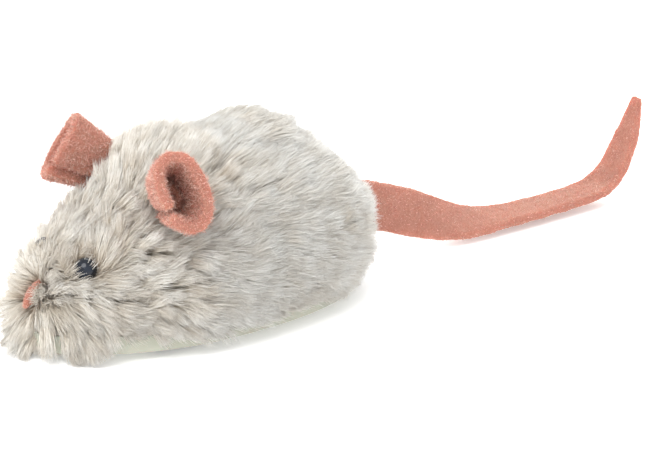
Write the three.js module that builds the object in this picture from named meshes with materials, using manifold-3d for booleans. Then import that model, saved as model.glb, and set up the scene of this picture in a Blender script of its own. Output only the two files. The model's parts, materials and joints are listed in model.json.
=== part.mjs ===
// Clockwork mouse: a spring-driven plastic car under a long-pile plush coat, with felt ears and tail.
// Millimetres. Z is up, the nose points along -Y, the mouse's left is +X. The origin is the middle of
// the chassis underside; the wheels reach FLOOR below it. The winding key is on the mouse's right.

import * as THREE from 'three';
import { mergeVertices } from 'three/addons/utils/BufferGeometryUtils.js';
import Module from 'manifold-3d';

const wasm = await Module();
wasm.setup();

// ---------------------------------------------------------------- driving dimensions

const GAP = 0.3;                  // clearance between pieces that touch
const FLOOR = -1.6;               // what the wheels stand on

// The coat's outer surface at nine heights: height, nose end, rump end, half width, and how much
// narrower the plan gets towards the nose.
const COAT_BASE = 3.3;
const COAT_TOP = 32.5;
const COAT_LEVELS = [
  [COAT_BASE, -31.5, 35.0, 19.3, 0.34],
  [9.0, -33.0, 36.4, 21.6, 0.44],
  [14.0, -30.6, 35.6, 21.6, 0.50],
  [18.6, -25.8, 33.6, 20.2, 0.54],
  [23.4, -17.2, 29.8, 17.0, 0.56],
  [27.2, -7.5, 25.6, 13.2, 0.50],
  [30.2, 2.4, 21.0, 8.8, 0.40],
  [31.9, 9.0, 17.0, 4.6, 0.32],
  [COAT_TOP, 13.0, 13.0, 0.0, 0.32],
];
const COAT_HALF_WIDTH = 21.6;
const COAT_HALF_LENGTH = 36.5;
const COAT_THICKNESS = 4.0;       // pile and backing, from the shell to the pile's tips
const SQUARENESS = 2.4;           // superellipse exponent of the plan outline
const AROUND = 24;                // facets round the body

const SHELL_INSET = 4.3;          // the shell's outside, below the pile's tips
const SHELL_WALL = 1.0;

const CHASSIS_HALF_WIDTH = 17.0;
const CHASSIS_TAPER = 0.32;
const CHASSIS_NOSE = -30.5;
const CHASSIS_RUMP = 33.0;
const CHASSIS_FLOOR = 1.6;        // thickness of the base
const RIM_HEIGHT = 3.0;
const RIM_WALL = 1.2;
const SCREW_HOLE = 0.9;           // radius of the holes that the screws pass through
const COUNTERBORE = 1.8;          // radius of the recess for a screw's head
const BOSS_RADIUS = 2.1;          // of the shell's screw bosses
const SLOT_CLEARANCE = 0.5;       // round a wheel in its slot
const WHEEL_SLOT_HALF = 2.3;      // half the width of a drive wheel's slot

// Gear train. All shafts lie along X; places are [y, z].
const MODULE = 0.5;
const PRESSURE_ANGLE = THREE.MathUtils.degToRad(20);
const ADDENDUM = 0.42;
const DEDENDUM = 0.66;
const TOOTH_THINNING = 0.16;      // running clearance of each tooth, at the pitch circle
const CENTRE_SLACK = 0.1;         // added to each centre distance
const PINION_TEETH = 10;
const GREAT_TEETH = 36;
const WHEEL_1_TEETH = 30;
const WHEEL_2_TEETH = 24;

const ARBOR = [9.0, 15.4];
const DRIVE_AXLE = [-7.0, 5.0];
const TRAIN_SLOPE = THREE.MathUtils.degToRad(187);
const SHAFT_1 = fromPolar(ARBOR, centreDistance(GREAT_TEETH), TRAIN_SLOPE);
const SHAFT_2 = meetingPoint(SHAFT_1, centreDistance(WHEEL_1_TEETH), DRIVE_AXLE, centreDistance(WHEEL_2_TEETH));

const PLATE_INNER = 7.2;          // x of the gearbox plates' inner faces
const PLATE_THICKNESS = 1.2;
const LEFT_LEVEL = [4.7, 6.3];    // x range of the great gear and the second wheel
const RIGHT_LEVEL = [-6.3, -4.7]; // x range of the first wheel
const RATCHET_LEVEL = [2.8, 4.2];
const SPRING_LEVEL = [-3.6, 1.6];
const PINION_OVERLAP = 0.25;      // how far a pinion sticks out past the wheel it drives

const ARBOR_RADIUS = 1.5;
const SHAFT_RADIUS = 0.6;
const AXLE_RADIUS = 1.0;

const WHEEL_RADIUS = DRIVE_AXLE[1] - FLOOR;
const TYRE_THICKNESS = 1.3;
const WHEEL_MIDDLE = 10.6;        // x of the drive wheels
const WHEEL_WIDTH = 3.2;

const ROLLER = [22.0, 2.4];
const ROLLER_RADIUS = ROLLER[1] - FLOOR;
const ROLLER_WIDTH = 8.0;

const KEY_BOSS = [-25.0, -19.4];  // x range of the winding key's boss
const KEY_TIP = -29.5;

const SCREW_PLACES = {
  chassis_screw_front: [0, -23],
  chassis_screw_left: [11.3, 17],
  chassis_screw_right: [-11.3, 17],
};
const CROSSBAR_PLACES = { gearbox_crossbar_front: [-17.2, 3.9], gearbox_crossbar_rear: [14.0, 3.9] };
const PILLAR_PLACES = { gearbox_pillar_middle: [2.5, 4.3], gearbox_pillar_rear: [19.6, 13.0] };

const EYE = new THREE.Vector3(6.3, -23.7, 14.0);
const EYE_DIRECTION = new THREE.Vector3(0.62, -0.62, 0.48).normalize();
const EYE_RADIUS = 1.9;
const EYE_STEM = 6.2;

const NOSE = new THREE.Vector3(0, -30.0, 9.2);
const NOSE_DIRECTION = new THREE.Vector3(0, -0.9, 0.44).normalize();

const EAR_BASE = new THREE.Vector3(10.0, -9.6, 24.5);
const LEFT_MOUTH = new THREE.Vector3(19.0, -12.5, 28.2);
const RIGHT_MOUTH = new THREE.Vector3(14.2, -16.6, 28.9);    // given on the left, then mirrored
const EAR_WIDTH = 10.5;
const EAR_HEIGHT = 14.7;
const FELT = 1.6;

// The tail's middle line as [y, z, width, turn]: the strip stands on edge at a turn of 0 and lies
// flat at 90 degrees.
const TAIL_STATIONS = [
  [33.2, 10.2, 9.9, 0],
  [38.8, 9.8, 8.8, 0],
  [48.0, 6.6, 8.5, 8],
  [54.2, 4.1, 8.2, 30],
  [61.8, 1.8, 8.0, 62],
  [69.4, 0.9, 7.8, 84],
  [79.8, 0.7, 7.6, 90],
  [91.0, 1.1, 7.2, 90],
  [95.8, 2.9, 6.8, 90],
  [98.6, 6.4, 6.2, 90],
  [100.8, 10.4, 5.0, 90],
  [103.0, 17.0, 1.2, 90],
];

// ---------------------------------------------------------------- plane geometry

function fromPolar(centre, distance, angle) {
  return [centre[0] + distance * Math.cos(angle), centre[1] + distance * Math.sin(angle)];
}

function centreDistance(wheelTeeth) {
  return MODULE * (wheelTeeth + PINION_TEETH) / 2 + CENTRE_SLACK;
}

// The point at given distances from two others, on the side nearer to the nose.
function meetingPoint(first, firstDistance, second, secondDistance) {
  const span = Math.hypot(second[0] - first[0], second[1] - first[1]);
  const along = (firstDistance ** 2 - secondDistance ** 2 + span ** 2) / (2 * span);
  const aside = Math.sqrt(firstDistance ** 2 - along ** 2);
  const unit = [(second[0] - first[0]) / span, (second[1] - first[1]) / span];
  return [first[0] + along * unit[0] + aside * unit[1], first[1] + along * unit[1] - aside * unit[0]];
}

function angleBetween(from, to) {
  return Math.atan2(to[1] - from[1], to[0] - from[0]);
}

// ---------------------------------------------------------------- solids

// One closed solid from any geometry: shared corners merged, empty faces dropped, faces pointing out.
function solid(geometry) {
  const bare = geometry.index ? geometry : mergeVertices(geometry);
  bare.deleteAttribute('normal');
  bare.deleteAttribute('uv');
  const merged = mergeVertices(bare, 1e-4);
  const corners = merged.index.array;
  const places = merged.attributes.position.array;
  const faces = [];
  for (let i = 0; i < corners.length; i += 3) {
    const [a, b, c] = corners.slice(i, i + 3);
    if (a !== b && b !== c && c !== a) faces.push([a, b, c]);
  }
  const point = (i) => new THREE.Vector3().fromArray(places, 3 * i);
  const volume = faces.reduce((sum, [a, b, c]) => sum + point(a).dot(point(b).cross(point(c))), 0);
  const outward = volume < 0 ? faces.map(([a, b, c]) => [a, c, b]) : faces;
  const mesh = new wasm.Mesh({
    numProp: 3,
    vertProperties: new Float32Array(places),
    triVerts: new Uint32Array(outward.flat()),
  });
  return new wasm.Manifold(mesh);
}

function geometryOf(body) {
  const mesh = body.getMesh();
  const geometry = new THREE.BufferGeometry();
  geometry.setAttribute('position', new THREE.BufferAttribute(new Float32Array(mesh.vertProperties), 3));
  geometry.setIndex(new THREE.BufferAttribute(new Uint32Array(mesh.triVerts), 1));
  return geometry;
}

// Turned solids: the profile is [radius, distance along the axis], starting and ending on the axis
// or closing on itself.
function turned(profile, segments, axis) {
  const points = profile.map(([radius, along]) => new THREE.Vector2(radius, along));
  const geometry = new THREE.LatheGeometry(points, segments);
  if (axis === 'x') geometry.rotateZ(-Math.PI / 2);
  if (axis === 'z') geometry.rotateX(Math.PI / 2);
  return geometry;
}

function rod(radius, from, to, segments = 16, axis = 'x') {
  return turned([[0, from], [radius, from], [radius, to], [0, to]], segments, axis);
}

function ring(inner, outer, from, to, segments = 20, axis = 'x') {
  const profile = [[inner, from], [outer, from], [outer, to], [inner, to], [inner, from]];
  return turned(profile, segments, axis);
}

function box(x, y, z) {
  const geometry = new THREE.BoxGeometry(x[1] - x[0], y[1] - y[0], z[1] - z[0]);
  return geometry.translate((x[0] + x[1]) / 2, (y[0] + y[1]) / 2, (z[0] + z[1]) / 2);
}

// A flat outline drawn in [y, z] and given its thickness along X.
function slabAlongX(outline, holes, from, to) {
  const shape = new THREE.Shape(outline.map(([y, z]) => new THREE.Vector2(y, z)));
  for (const [place, radius, segments] of holes) {
    const edge = [];
    for (let i = 0; i < segments; i++) {
      const [y, z] = fromPolar(place, radius, -2 * Math.PI * i / segments);
      edge.push(new THREE.Vector2(y, z));
    }
    shape.holes.push(new THREE.Path(edge));
  }
  const geometry = new THREE.ExtrudeGeometry(shape, { depth: to - from, bevelEnabled: false });
  const basis = new THREE.Matrix4().makeBasis(
    new THREE.Vector3(0, 1, 0), new THREE.Vector3(0, 0, 1), new THREE.Vector3(1, 0, 0));
  return geometry.applyMatrix4(basis).translate(from, 0, 0);
}

function at(geometry, place) {
  return geometry.translate(0, place[0], place[1]);
}

// Turns a geometry made along +Z to point along a direction, and puts it at a place.
function aimed(geometry, place, direction) {
  const turn = new THREE.Quaternion().setFromUnitVectors(new THREE.Vector3(0, 0, 1), direction);
  return geometry.applyQuaternion(turn).translate(place.x, place.y, place.z);
}

function mirrored(geometry) {
  return geometry.clone().scale(-1, 1, 1);
}

function cut(body, ...tools) {
  return tools.reduce((left, tool) => left.subtract(solid(tool)), body);
}

// ---------------------------------------------------------------- body surface

// A point of the plan outline between a nose end and a rump end.
function planPoint(angle, noseEnd, rumpEnd, halfWidth, noseTaper) {
  const power = 2 / SQUARENESS;
  const across = Math.sign(Math.cos(angle)) * Math.abs(Math.cos(angle)) ** power;
  const along = Math.sign(Math.sin(angle)) * Math.abs(Math.sin(angle)) ** power;
  const taper = 1 - noseTaper * Math.min(along, 0) ** 2;
  return [halfWidth * across * taper, (noseEnd + rumpEnd) / 2 + along * (rumpEnd - noseEnd) / 2];
}

// The body's solid, a given depth below the pile's tips, from a base height to the crest.
function bodySolid(inset, base) {
  const scale = new THREE.Vector3(
    1 - inset / COAT_HALF_WIDTH,
    1 - inset / COAT_HALF_LENGTH,
    1 - inset / (COAT_TOP - COAT_BASE));
  const places = [];
  const levels = COAT_LEVELS.length;
  for (const [height, ...plan] of COAT_LEVELS) {
    const isBase = height === COAT_BASE;
    for (let i = 0; i < AROUND; i++) {
      const [x, y] = planPoint(2 * Math.PI * i / AROUND, ...plan);
      const z = isBase ? base : COAT_BASE + (height - COAT_BASE) * scale.z;
      places.push(x * scale.x, y * scale.y, z);
    }
  }
  places.push(0, 0, base);
  const faces = [];
  const bottom = levels * AROUND;
  for (let i = 0; i < AROUND; i++) {
    const next = (i + 1) % AROUND;
    faces.push(bottom, next, i);
    for (let level = 0; level < levels - 1; level++) {
      const low = level * AROUND;
      const high = low + AROUND;
      faces.push(low + i, low + next, high + next, low + i, high + next, high + i);
    }
  }
  const geometry = new THREE.BufferGeometry();
  geometry.setAttribute('position', new THREE.Float32BufferAttribute(places, 3));
  geometry.setIndex(faces);
  return solid(geometry);
}

// A straight-sided slab with the chassis outline, drawn in by an inset.
function chassisSlab(inset, bottom, top) {
  const outline = [];
  for (let i = 0; i < 2 * AROUND; i++) {
    const angle = Math.PI * i / AROUND;
    const plan = [CHASSIS_NOSE + inset, CHASSIS_RUMP - inset, CHASSIS_HALF_WIDTH - inset, CHASSIS_TAPER];
    outline.push(new THREE.Vector2(...planPoint(angle, ...plan)));
  }
  const shape = new THREE.Shape(outline);
  const geometry = new THREE.ExtrudeGeometry(shape, { depth: top - bottom, bevelEnabled: false });
  return geometry.translate(0, 0, bottom);
}

// ---------------------------------------------------------------- gears

function involute(angle) {
  return Math.tan(angle) - angle;
}

// The outline of a spur gear about a place, with one tooth centred on the phase angle.
function gearOutline(place, teeth, phase) {
  const pitch = MODULE * teeth / 2;
  const base = pitch * Math.cos(PRESSURE_ANGLE);
  const tip = pitch + ADDENDUM;
  const root = pitch - DEDENDUM;
  const halfTooth = Math.PI / (2 * teeth) - TOOTH_THINNING / (2 * pitch) + involute(PRESSURE_ANGLE);
  const halfAngle = (radius) => halfTooth - involute(Math.acos(Math.min(1, base / Math.max(radius, base))));
  const flank = [Math.max(base, root), tip];
  const outline = [];
  for (let i = 0; i < teeth; i++) {
    const middle = phase + 2 * Math.PI * i / teeth;
    outline.push(fromPolar(place, root, middle - halfAngle(root)));
    for (const radius of flank) outline.push(fromPolar(place, radius, middle - halfAngle(radius)));
    for (const radius of [...flank].reverse()) outline.push(fromPolar(place, radius, middle + halfAngle(radius)));
    outline.push(fromPolar(place, root, middle + halfAngle(root)));
  }
  return outline.filter((point, i) => {
    const before = outline[(i + outline.length - 1) % outline.length];
    return Math.hypot(point[0] - before[0], point[1] - before[1]) > 1e-3;
  });
}

function gear(place, teeth, phase, level, bore) {
  return slabAlongX(gearOutline(place, teeth, phase), [[place, bore, 14]], level[0], level[1]);
}

// The phase a gear needs so that its gap meets the tooth of the gear it meshes with.
function meshingPhase(place, teeth, other, otherTeeth, otherPhase) {
  const line = angleBetween(other, place);
  return line + Math.PI + Math.PI / teeth + (line - otherPhase) * otherTeeth / teeth;
}

function widened(level) {
  return [level[0] - PINION_OVERLAP, level[1] + PINION_OVERLAP];
}

const GREAT_PHASE = 0;
const PINION_1_PHASE = meshingPhase(SHAFT_1, PINION_TEETH, ARBOR, GREAT_TEETH, GREAT_PHASE);
const PINION_2_PHASE = meshingPhase(SHAFT_2, PINION_TEETH, SHAFT_1, WHEEL_1_TEETH, GREAT_PHASE);
const PINION_3_PHASE = meshingPhase(DRIVE_AXLE, PINION_TEETH, SHAFT_2, WHEEL_2_TEETH, GREAT_PHASE);

// An intermediate gear: its wheel and pinion moulded together on one hollow hub.
function compoundGear(place, wheelTeeth, wheelLevel, pinionPhase, pinionLevel, hubRadius) {
  const bore = SHAFT_RADIUS + GAP;
  const wheel = solid(gear(place, wheelTeeth, GREAT_PHASE, wheelLevel, bore));
  const pinion = solid(gear(place, PINION_TEETH, pinionPhase, widened(pinionLevel), bore));
  const from = Math.min(wheelLevel[0], widened(pinionLevel)[0]);
  const to = Math.max(wheelLevel[1], widened(pinionLevel)[1]);
  const hub = solid(at(ring(bore, hubRadius, from, to, 14), place));
  return wheel.add(pinion).add(hub);
}

// ---------------------------------------------------------------- ratchet and click

const RATCHET_TEETH = 12;
const RATCHET_TIP = 3.9;
const RATCHET_ROOT = 3.1;
const CLICK_PIVOT = fromPolar(ARBOR, 6.3, THREE.MathUtils.degToRad(20));
const CLICK_NOSE = fromPolar(ARBOR, RATCHET_TIP + 0.85, THREE.MathUtils.degToRad(62));

function ratchetWheel() {
  const outline = [];
  for (let i = 0; i < RATCHET_TEETH; i++) {
    const pitch = 2 * Math.PI / RATCHET_TEETH;
    outline.push(fromPolar(ARBOR, RATCHET_TIP, i * pitch));
    outline.push(fromPolar(ARBOR, RATCHET_ROOT, (i + 1) * pitch - 0.06));
  }
  return slabAlongX(outline, [[ARBOR, ARBOR_RADIUS + GAP, 14]], ...RATCHET_LEVEL);
}

// The click: a round eye on its rivet, with an arm that ends in a blunt nose over the ratchet.
function click() {
  const line = angleBetween(CLICK_PIVOT, CLICK_NOSE);
  const eyeRadius = 1.3;
  const outline = [];
  for (let i = 0; i <= 10; i++) {
    const angle = line + THREE.MathUtils.degToRad(35 + 29 * i);
    outline.push(fromPolar(CLICK_PIVOT, eyeRadius, angle));
  }
  outline.push(fromPolar(CLICK_NOSE, 0.2, line - Math.PI / 2));
  outline.push(fromPolar(CLICK_NOSE, 0.9, line + Math.PI / 3));
  return slabAlongX(outline, [[CLICK_PIVOT, 0.8, 12]], ...RATCHET_LEVEL);
}

function clickRivet() {
  const profile = [
    [0, 2.1], [1.1, 2.1], [1.1, 2.5], [0.5, 2.5], [0.5, 6.6], [0.85, 6.6], [0.85, 6.9], [0, 6.9],
  ];
  return at(turned(profile, 12, 'x'), CLICK_PIVOT);
}

// The click spring: a bent strip riveted to the great gear, bearing on the back of the click.
function clickSpring() {
  const fixed = fromPolar(ARBOR, 7.3, THREE.MathUtils.degToRad(100));
  const bend = fromPolar(ARBOR, 7.6, THREE.MathUtils.degToRad(68));
  const tip = fromPolar(ARBOR, 7.0, THREE.MathUtils.degToRad(46));
  const half = 0.2;
  const outline = [
    [fixed[0] - half, fixed[1] + half], [fixed[0], fixed[1] - half],
    [bend[0] - half, bend[1] - half], [tip[0] - half, tip[1] - half],
    [tip[0] + half, tip[1]], [bend[0] + half, bend[1] + half],
  ];
  return slabAlongX(outline, [], 2.9, 4.35);
}

// ---------------------------------------------------------------- spring, arbor and key

// The mainspring: a flat strip wound in a spiral round the arbor.
function mainspring() {
  const turns = 5;
  const stepsPerTurn = 16;
  const innerRadius = 2.3;
  const outerRadius = 8.0;
  const strip = 0.35;
  const inner = [];
  const outer = [];
  for (let i = 0; i <= turns * stepsPerTurn; i++) {
    const share = i / (turns * stepsPerTurn);
    const radius = innerRadius + (outerRadius - innerRadius) * share;
    const angle = 2 * Math.PI * turns * share;
    inner.push(fromPolar(ARBOR, radius - strip / 2, angle));
    outer.push(fromPolar(ARBOR, radius + strip / 2, angle));
  }
  return slabAlongX([...outer, ...inner.reverse()], [], ...SPRING_LEVEL);
}

function windingArbor() {
  const shoulder = ARBOR_RADIUS - GAP;
  const profile = [
    [0, -23.6], [ARBOR_RADIUS, -23.6], [ARBOR_RADIUS, 6.6],
    [shoulder, 6.6], [shoulder, PLATE_INNER + PLATE_THICKNESS], [0, PLATE_INNER + PLATE_THICKNESS],
  ];
  return at(turned(profile, 16, 'x'), ARBOR);
}

// The winding key: a moulded boss with two rounded wings.
function windingKey() {
  const wing = new THREE.Shape();
  const reach = 5.6;
  const foot = KEY_BOSS[0] + 1.8;
  wing.moveTo(foot, -1.6);
  wing.bezierCurveTo(foot, -reach - 1.2, KEY_TIP, -reach - 0.8, KEY_TIP, -reach + 1.6);
  wing.bezierCurveTo(KEY_TIP, -1.4, KEY_TIP + 1.6, -1.4, KEY_TIP + 1.6, 0);
  wing.bezierCurveTo(KEY_TIP + 1.6, 1.4, KEY_TIP, 1.4, KEY_TIP, reach - 1.6);
  wing.bezierCurveTo(KEY_TIP, reach + 0.8, foot, reach + 1.2, foot, 1.6);
  const thickness = 1.8;
  const settings = { depth: thickness, bevelEnabled: false, curveSegments: 6 };
  const blade = new THREE.ExtrudeGeometry(wing, settings).translate(0, ARBOR[0], ARBOR[1] - thickness / 2);
  const boss = at(rod(2.6, ...KEY_BOSS, 18), ARBOR);
  const bore = at(rod(ARBOR_RADIUS + GAP, KEY_BOSS[0] + 1.1, KEY_BOSS[1] + 1, 16), ARBOR);
  return cut(solid(blade).add(solid(boss)), bore);
}

function keyBushing() {
  const bore = ARBOR_RADIUS + GAP;
  const profile = [
    [bore, -18.4], [3.6, -18.4], [3.6, -17.2], [2.5, -17.2], [2.5, -13.6], [bore, -13.6], [bore, -18.4],
  ];
  return at(turned(profile, 18, 'x'), ARBOR);
}

// ---------------------------------------------------------------- gearbox frame

// The plates' outline as [y, z], from the lower front corner round over the top.
const PLATE_OUTLINE = [
  [-19.4, 2.2], [16.2, 2.2], [21.4, 11.0], [21.4, 14.2], [15.0, 19.2],
  [9.0, 20.4], [2.0, 20.0], [-8.5, 18.6], [-15.2, 14.6], [-19.4, 7.0],
];
const SPACERS = { ...CROSSBAR_PLACES, ...PILLAR_PLACES };
const TENON_RADIUS = 0.8;
const PLATE_SCREW_RADIUS = 0.45;

function gearboxPlate(side) {
  const holes = [
    [ARBOR, ARBOR_RADIUS + GAP, 16],
    [SHAFT_1, SHAFT_RADIUS + GAP, 12],
    [SHAFT_2, SHAFT_RADIUS + GAP, 12],
    [DRIVE_AXLE, AXLE_RADIUS + GAP, 14],
  ];
  const spacerHole = side > 0 ? TENON_RADIUS + GAP : PLATE_SCREW_RADIUS + GAP;
  for (const place of Object.values(SPACERS)) holes.push([place, spacerHole, 12]);
  const from = side > 0 ? PLATE_INNER : -PLATE_INNER - PLATE_THICKNESS;
  return slabAlongX(PLATE_OUTLINE, holes, from, from + PLATE_THICKNESS);
}

// A spacer between the plates: a tenon through the left plate, a screw hole in the right end.
function spacer(place, bar) {
  const end = PLATE_INNER - GAP;
  const tenon = at(rod(TENON_RADIUS, 0, PLATE_INNER + PLATE_THICKNESS, 12), place);
  const screwHole = at(rod(PLATE_SCREW_RADIUS + GAP, -end - 1, -end + 3.6, 10), place);
  return cut(solid(bar).add(solid(tenon)), screwHole);
}

function pillar(place) {
  const end = PLATE_INNER - GAP;
  return spacer(place, at(rod(1.35, -end, end, 14), place));
}

function crossbar(place) {
  const end = PLATE_INNER - GAP;
  const half = 1.75;
  const bar = box([-end, end], [place[0] - half, place[0] + half], [place[1] - half, place[1] + half]);
  const screwHole = rod(SCREW_HOLE, 0, place[1] + 1.2, 12, 'z').translate(0, place[0], 0);
  return cut(spacer(place, bar), screwHole);
}

// A pan-head screw along an axis, with its head at the start.
function screw(headRadius, headHeight, shankRadius, length, axis) {
  const profile = [
    [0, 0], [headRadius, 0], [headRadius, headHeight], [shankRadius, headHeight],
    [shankRadius, length], [0, length + shankRadius],
  ];
  return turned(profile, 12, axis);
}

function plateScrew(place) {
  const head = 0.8;
  const outside = PLATE_INNER + PLATE_THICKNESS + head + 0.1;
  return at(screw(1.2, head, PLATE_SCREW_RADIUS, 4.4, 'x').translate(-outside, 0, 0), place);
}

// ---------------------------------------------------------------- wheels

const AXLE_END = 12.6;

function driveWheel(side) {
  const from = WHEEL_MIDDLE - WHEEL_WIDTH / 2;
  const to = WHEEL_MIDDLE + WHEEL_WIDTH / 2;
  const bore = AXLE_RADIUS + GAP;
  const rim = WHEEL_RADIUS - TYRE_THICKNESS - GAP;
  const profile = [
    [bore, from - 0.3], [2.3, from - 0.3], [2.3, from + 1.2], [rim - 1.0, from + 1.2], [rim - 1.0, from],
    [rim, from], [rim, to], [rim - 1.0, to], [rim - 1.0, to - 1.2], [2.3, to - 1.2],
    [2.3, to], [bore, to], [bore, from - 0.3],
  ];
  const wheel = at(turned(profile, 20, 'x'), DRIVE_AXLE);
  return side > 0 ? wheel : mirrored(wheel);
}

function tyre(side) {
  const from = WHEEL_MIDDLE - WHEEL_WIDTH / 2;
  const to = WHEEL_MIDDLE + WHEEL_WIDTH / 2;
  const inner = WHEEL_RADIUS - TYRE_THICKNESS;
  const profile = [
    [inner, from], [WHEEL_RADIUS - 0.4, from], [WHEEL_RADIUS, from + 0.6],
    [WHEEL_RADIUS, to - 0.6], [WHEEL_RADIUS - 0.4, to], [inner, to], [inner, from],
  ];
  const band = at(turned(profile, 28, 'x'), DRIVE_AXLE);
  return side > 0 ? band : mirrored(band);
}

function rearRoller() {
  const half = ROLLER_WIDTH / 2;
  const bore = SHAFT_RADIUS + GAP;
  const profile = [
    [bore, -half], [ROLLER_RADIUS - 0.7, -half], [ROLLER_RADIUS, -half + 0.7],
    [ROLLER_RADIUS, half - 0.7], [ROLLER_RADIUS - 0.7, half], [bore, half], [bore, -half],
  ];
  return at(turned(profile, 24, 'x'), ROLLER);
}

// ---------------------------------------------------------------- chassis, shell and coat

// The chassis: a tray with a low rim, wheel slots, roller lugs and screw holes.
function chassis() {
  const tray = solid(chassisSlab(0, 0, RIM_HEIGHT));
  const inside = chassisSlab(RIM_WALL, CHASSIS_FLOOR, RIM_HEIGHT + 1);
  const slots = [];
  const wheelSlot = WHEEL_RADIUS + SLOT_CLEARANCE;
  for (const side of [-1, 1]) {
    const middle = side * WHEEL_MIDDLE;
    const edges = [middle - WHEEL_SLOT_HALF, middle + WHEEL_SLOT_HALF];
    slots.push(box(edges, [DRIVE_AXLE[0] - wheelSlot, DRIVE_AXLE[0] + wheelSlot], [-1, 2 * CHASSIS_FLOOR]));
  }
  const rollerSlot = ROLLER_RADIUS + SLOT_CLEARANCE;
  const rollerHalf = ROLLER_WIDTH / 2 + SLOT_CLEARANCE;
  slots.push(box([-rollerHalf, rollerHalf], [ROLLER[0] - rollerSlot, ROLLER[0] + rollerSlot], [-1, 3]));
  const holes = [];
  const crossbarScrews = Object.values(CROSSBAR_PLACES).map(([y]) => [0, y]);
  for (const [x, y] of [...Object.values(SCREW_PLACES), ...crossbarScrews]) {
    holes.push(rod(SCREW_HOLE, -1, 3, 12, 'z').translate(x, y, 0));
    holes.push(rod(COUNTERBORE, -1, 0.8, 14, 'z').translate(x, y, 0));
  }
  let body = cut(tray, inside, ...slots);
  for (const side of [-1, 1]) {
    const edges = [side * (rollerHalf + 0.1), side * (rollerHalf + 1.7)].sort((a, b) => a - b);
    const lug = box(edges, [ROLLER[0] - 1.8, ROLLER[0] + 1.8], [CHASSIS_FLOOR - 0.6, ROLLER[1] + 1.9]);
    body = body.add(solid(lug));
  }
  const axleHole = at(rod(SHAFT_RADIUS + GAP, -rollerHalf - 3, rollerHalf + 3, 12), ROLLER);
  return cut(body, ...holes, axleHole);
}

// The shallow pocket inside the shell that keeps it clear of the second wheel's teeth.
function gearPocket() {
  const reach = MODULE * WHEEL_2_TEETH / 2 + ADDENDUM + GAP;
  return at(rod(reach, LEFT_LEVEL[0] - GAP, LEFT_LEVEL[1] + GAP, 36), SHAFT_2);
}

function bodyShell() {
  const base = CHASSIS_FLOOR + GAP;
  const outside = bodySolid(SHELL_INSET, base);
  let shell = outside.subtract(bodySolid(SHELL_INSET + SHELL_WALL, base - 1));
  for (const [x, y] of Object.values(SCREW_PLACES)) {
    const boss = solid(rod(BOSS_RADIUS, base, COAT_TOP, 14, 'z').translate(x, y, 0));
    shell = shell.add(boss.intersect(outside));
  }
  const holes = Object.values(SCREW_PLACES)
    .map(([x, y]) => rod(SCREW_HOLE, 0, 8.5, 12, 'z').translate(x, y, 0));
  holes.push(at(rod(2.5 + GAP, -30, -10, 18), ARBOR));
  const eyeHole = aimed(rod(0.75 + GAP, -7, 4, 12, 'z'), EYE, EYE_DIRECTION);
  holes.push(eyeHole, mirrored(eyeHole));
  holes.push(gearPocket());
  return cut(shell, ...holes);
}

// The slit in the coat that the tail comes through.
function tailSlit() {
  const [, z, width] = TAIL_STATIONS[0];
  const half = width / 2 + GAP;
  return box([-FELT / 2 - GAP, FELT / 2 + GAP], [30, 40], [z - half, z + half]);
}

// The coat as one plain solid, open below and cut clear of what comes through it.
function plushCover() {
  const inner = bodySolid(COAT_THICKNESS, COAT_BASE - 1);
  const clearance = [];
  clearance.push(at(rod(3.6 + GAP, -30, -12, 18), ARBOR));
  clearance.push(aimed(rod(3.0, -1.4, 20, 16, 'z'), NOSE, NOSE_DIRECTION));
  const eyeWell = aimed(rod(EYE_RADIUS + 0.5, -12, 12, 14, 'z'), EYE, EYE_DIRECTION);
  clearance.push(eyeWell, mirrored(eyeWell));
  clearance.push(earCone(LEFT_MOUTH), mirrored(earCone(RIGHT_MOUTH)));
  clearance.push(tailSlit());
  return cut(bodySolid(0, COAT_BASE).subtract(inner), ...clearance);
}

// ---------------------------------------------------------------- felt, eyes and nose

// Turns a profile about +Z, stretches it along X and puts it on the ear's base, facing its mouth.
function onEar(profile, sides, mouth) {
  const direction = mouth.clone().sub(EAR_BASE).normalize();
  const across = new THREE.Vector3(0, 0, 1).cross(direction).normalize();
  const upward = new THREE.Vector3().crossVectors(direction, across);
  const basis = new THREE.Matrix4().makeBasis(upward, across.negate(), direction);
  const cup = turned(profile, sides, 'z').scale(EAR_HEIGHT / EAR_WIDTH, 1, 1);
  return cup.applyMatrix4(basis).translate(EAR_BASE.x, EAR_BASE.y, EAR_BASE.z);
}

// The space around an ear, for the coat to stay clear of.
function earCone(mouth) {
  const margin = FELT + 2 * GAP;
  const length = mouth.distanceTo(EAR_BASE);
  const wide = EAR_WIDTH / 2 + margin;
  return onEar([[0, -margin], [2.6 + margin, -margin], [wide, length], [wide, 12], [0, 12]], 18, mouth);
}

// An ear: a felt cup, narrow at its root and open at its mouth.
function ear(mouth) {
  const length = mouth.distanceTo(EAR_BASE);
  const wide = EAR_WIDTH / 2;
  const profile = [
    [0, 0], [2.4, 0], [3.9, 4], [wide, length], [wide - FELT, length],
    [2.4, 4.2], [1.0, 2], [0, 1.8],
  ];
  return onEar(profile, 20, mouth);
}

// An eye: a glossy dome on a flange, with a stem that goes through the shell.
function eye() {
  const profile = [[0, -EYE_STEM], [0.7, -EYE_STEM], [0.7, -0.6], [EYE_RADIUS, -0.6], [EYE_RADIUS, 0]];
  for (let i = 1; i <= 4; i++) {
    const angle = Math.PI / 2 * i / 4;
    profile.push([i === 4 ? 0 : EYE_RADIUS * Math.cos(angle), 1.5 * Math.sin(angle)]);
  }
  return aimed(turned(profile, 16, 'z'), EYE, EYE_DIRECTION);
}

function eyeWasher() {
  const back = -EYE_STEM + 0.5;
  return aimed(ring(0.7 + GAP, 1.6, back, back + 0.7, 14, 'z'), EYE, EYE_DIRECTION);
}

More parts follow.
